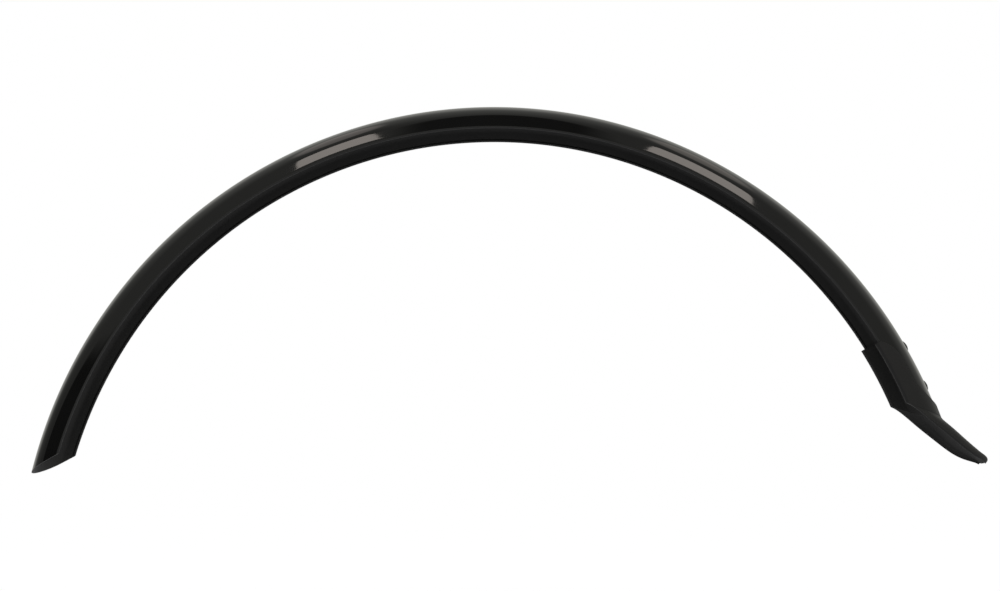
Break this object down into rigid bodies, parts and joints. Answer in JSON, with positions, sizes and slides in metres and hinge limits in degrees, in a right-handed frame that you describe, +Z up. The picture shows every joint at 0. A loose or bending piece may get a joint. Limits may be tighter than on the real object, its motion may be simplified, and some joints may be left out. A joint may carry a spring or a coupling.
{
  "type": "bicycle mudguard",
  "caption": "Front bicycle mudguard: a gloss black channel blade bent round the wheel, with a slanted front tip and a matte mud flap riveted to its rear end.",
  "frame": {"origin": "on the axis of the fork bolt hole, half way through the crown's wall", "axes": "+X from the front tip towards the flap, +Y along the wheel's axle, +Z up, with the arch upright"},
  "size_m": [0.7397, 0.0552, 0.2905],
  "materials": {
    "blade_plastic": "polished black",
    "flap_rubber": "matte black",
    "rivet_paint": "satin black",
    "washer_steel": "zinc plated"
  },
  "bodies": {
    "root": {"guard_blade": "blade_plastic", "mud_flap": "flap_rubber", "flap_rivets": "rivet_paint", "rivet_washers": "washer_steel"}
  },
  "joints": []
}
